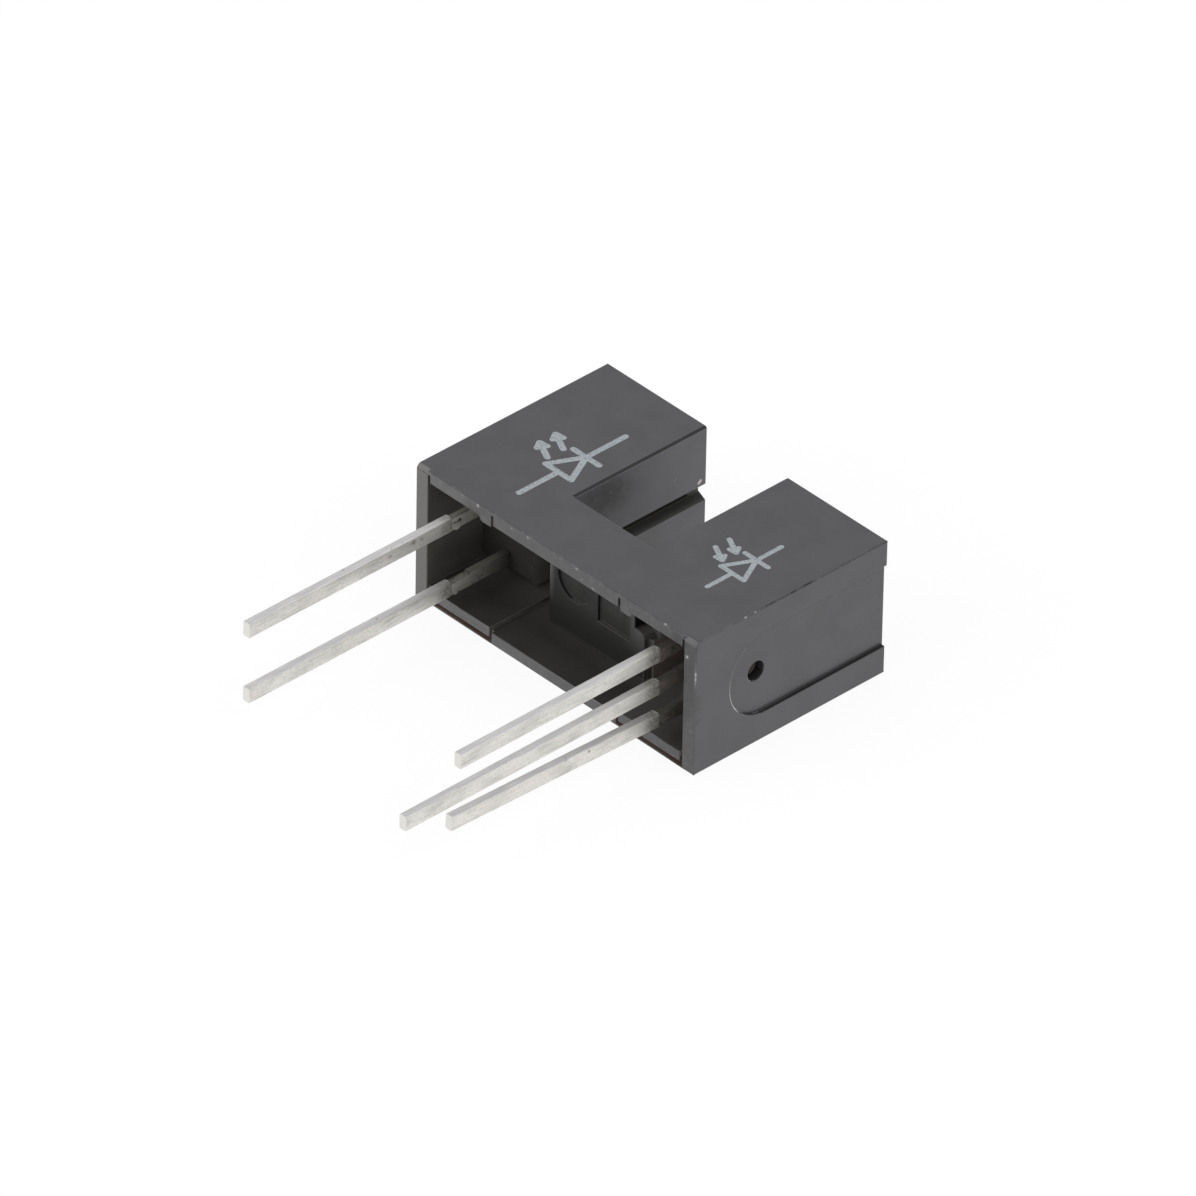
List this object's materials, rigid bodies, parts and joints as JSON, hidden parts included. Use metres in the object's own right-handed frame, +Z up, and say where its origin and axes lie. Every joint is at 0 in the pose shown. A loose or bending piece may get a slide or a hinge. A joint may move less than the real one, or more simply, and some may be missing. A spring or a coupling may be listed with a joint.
{
  "type": "slotted optical switch",
  "caption": "U-shaped slotted optical switch: a hollow black housing holds an emitter and a detector package that face each other across the slot, on straight flat leads.",
  "frame": {"origin": "centre of the lead pattern on the seating plane, at the middle of the housing's thickness", "axes": "+X across the slot from the emitter to the detector, +Y from the leads to the arm tips, +Z up out of the broad face; the part lies on its other broad face"},
  "size_m": [0.013, 0.0191, 0.0052],
  "materials": {
    "housing_plastic": "satin moulded black",
    "tinned_lead": "satin tin over bare strip",
    "emitter_resin": "smoke-tinted infrared-passing resin",
    "detector_resin": "dark infrared-passing resin",
    "chip": "polished semiconductor",
    "bond_wire": "bright gold wire"
  },
  "bodies": {
    "root": {"housing": "housing_plastic", "emitter_mold": "emitter_resin", "emitter_anode_lead": "tinned_lead", "emitter_cathode_lead": "tinned_lead", "emitter_chip": "chip", "emitter_wire": "bond_wire", "detector_mold": "detector_resin", "detector_supply_lead": "tinned_lead", "detector_output_lead": "tinned_lead", "detector_ground_lead": "tinned_lead", "detector_chip": "chip", "supply_wire": "bond_wire", "output_wire": "bond_wire", "ground_wire": "bond_wire"}
  },
  "joints": []
}
